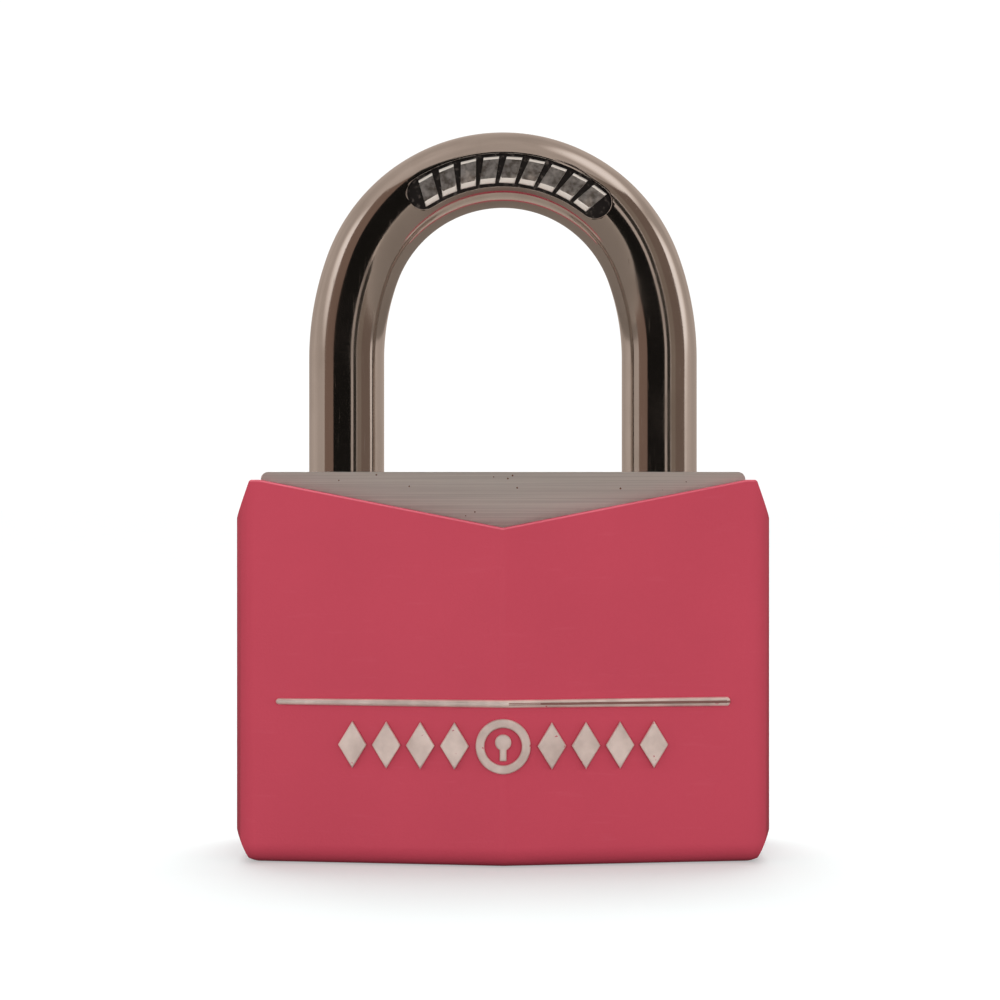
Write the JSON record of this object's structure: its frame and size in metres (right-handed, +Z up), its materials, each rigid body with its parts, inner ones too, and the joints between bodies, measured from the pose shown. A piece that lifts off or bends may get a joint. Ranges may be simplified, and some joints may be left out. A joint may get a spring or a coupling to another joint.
{
  "type": "covered padlock",
  "caption": "Pin-tumbler padlock: aluminium block in a creased red moulded cover with a notched top, round chromed shackle closed and unlocked.",
  "frame": {"origin": "middle of the underside of the cover", "axes": "+Z up along the shackle's legs, +X across the width towards the long heel leg, front face towards -Y"},
  "size_m": [0.0436, 0.0224, 0.0606],
  "materials": {
    "cover_plastic": "satin moulded vinyl",
    "silver_foil": "worn silver",
    "block_aluminium": "brushed",
    "shackle_chrome": "polished",
    "spring_steel": "drawn wire",
    "pin_steel": "ground",
    "plug_brass": "turned",
    "cam_zinc": "cast"
  },
  "bodies": {
    "lock": {"lock_block": "block_aluminium", "cover": "cover_plastic", "front_rule": "silver_foil", "front_emblem": "silver_foil", "shackle_retaining_pin": "pin_steel", "plug_retaining_pin": "pin_steel", "cross_bore_cap": "block_aluminium", "chamber_caps": "plug_brass", "shackle_spring": "spring_steel", "bolt_spring": "spring_steel", "pin_spring_1": "spring_steel", "pin_spring_2": "spring_steel", "pin_spring_3": "spring_steel", "pin_spring_4": "spring_steel"},
    "shackle": {"shackle": "shackle_chrome"},
    "plug": {"plug": "plug_brass", "cam": "cam_zinc"},
    "bolt_toe": {"locking_bolt_toe": "pin_steel"},
    "bolt_heel": {"locking_bolt_heel": "pin_steel"},
    "driver_1": {"driver_pin_1": "plug_brass"},
    "key_pin_1": {"key_pin_1": "plug_brass"},
    "driver_2": {"driver_pin_2": "plug_brass"},
    "key_pin_2": {"key_pin_2": "plug_brass"},
    "driver_3": {"driver_pin_3": "plug_brass"},
    "key_pin_3": {"key_pin_3": "plug_brass"},
    "driver_4": {"driver_pin_4": "plug_brass"},
    "key_pin_4": {"key_pin_4": "plug_brass"}
  },
  "joints": [
    {"name": "shackle_lift", "type": "slide", "parent": "lock", "child": "shackle", "axis": [0, 0, 1], "range_m": [0, 0.0115], "deforming": ["shackle_spring"]},
    {"name": "plug_turn", "type": "hinge", "parent": "lock", "child": "plug", "pos_m": [0, 0, 0.0016], "axis": [0, 0, 1], "range_deg": [-90, 0]},
    {"name": "bolt_toe_slide", "type": "slide", "parent": "lock", "child": "bolt_toe", "axis": [-1, 0, 0], "range_m": [0, 0.0015], "deforming": ["bolt_spring"]},
    {"name": "bolt_heel_slide", "type": "slide", "parent": "lock", "child": "bolt_heel", "axis": [1, 0, 0], "range_m": [0, 0.0015]},
    {"name": "driver_1_slide", "type": "slide", "parent": "lock", "child": "driver_1", "axis": [-1, 0, 0], "range_m": [0, 0.0012], "stiffness_N_per_m": 20, "springref_m": -0.003, "deforming": ["pin_spring_1"]},
    {"name": "key_pin_1_slide", "type": "slide", "parent": "plug", "child": "key_pin_1", "axis": [0, 1, 0], "range_m": [0, 0.0012]},
    {"name": "driver_2_slide", "type": "slide", "parent": "lock", "child": "driver_2", "axis": [-1, 0, 0], "range_m": [0, 0.0012], "stiffness_N_per_m": 20, "springref_m": -0.003, "deforming": ["pin_spring_2"]},
    {"name": "key_pin_2_slide", "type": "slide", "parent": "plug", "child": "key_pin_2", "axis": [0, 1, 0], "range_m": [0, 0.0012]},
    {"name": "driver_3_slide", "type": "slide", "parent": "lock", "child": "driver_3", "axis": [-1, 0, 0], "range_m": [0, 0.0012], "stiffness_N_per_m": 20, "springref_m": -0.003, "deforming": ["pin_spring_3"]},
    {"name": "key_pin_3_slide", "type": "slide", "parent": "plug", "child": "key_pin_3", "axis": [0, 1, 0], "range_m": [0, 0.0012]},
    {"name": "driver_4_slide", "type": "slide", "parent": "lock", "child": "driver_4", "axis": [-1, 0, 0], "range_m": [0, 0.0012], "stiffness_N_per_m": 20, "springref_m": -0.003, "deforming": ["pin_spring_4"]},
    {"name": "key_pin_4_slide", "type": "slide", "parent": "plug", "child": "key_pin_4", "axis": [0, 1, 0], "range_m": [0, 0.0012]}
  ],
  "couplings": [
    {"joint": "bolt_toe_slide", "follows": "plug_turn", "m_per_rad": -0.00095493},
    {"joint": "bolt_heel_slide", "follows": "plug_turn", "m_per_rad": -0.00095493}
  ]
}
